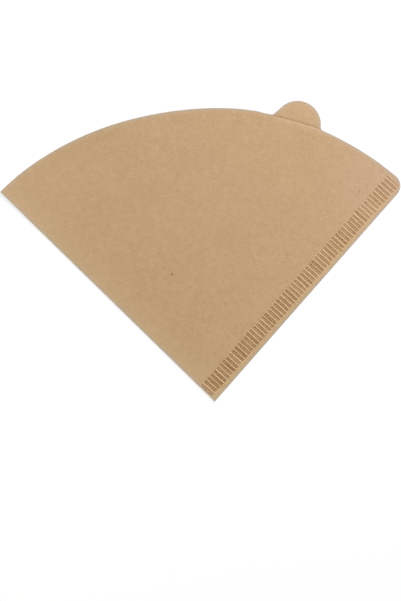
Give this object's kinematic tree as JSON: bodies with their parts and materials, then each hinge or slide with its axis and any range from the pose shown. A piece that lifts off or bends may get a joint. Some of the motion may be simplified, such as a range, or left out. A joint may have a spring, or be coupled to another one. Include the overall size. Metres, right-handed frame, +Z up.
{
  "type": "paper coffee filter",
  "caption": "Cone-shaped kraft paper coffee filter, folded flat: plain fold on one side, crimped seam on the other, arched open mouth and a round pull tab on the back layer.",
  "frame": {"origin": "middle of the outline's box, on the surface the filter lies on", "axes": "+Z up through the paper, +Y from the pointed apex towards the arched mouth along the bisector of fold and seam, +X towards the crimped seam, with the fold on the -X side"},
  "size_m": [0.1702, 0.1276, 0.0005],
  "materials": {
    "filter_paper": "unbleached brown filter paper, matt, with a fine fibrous mottle and scattered dark fibres"
  },
  "bodies": {
    "root": {"filter_paper": "filter_paper"}
  },
  "joints": []
}
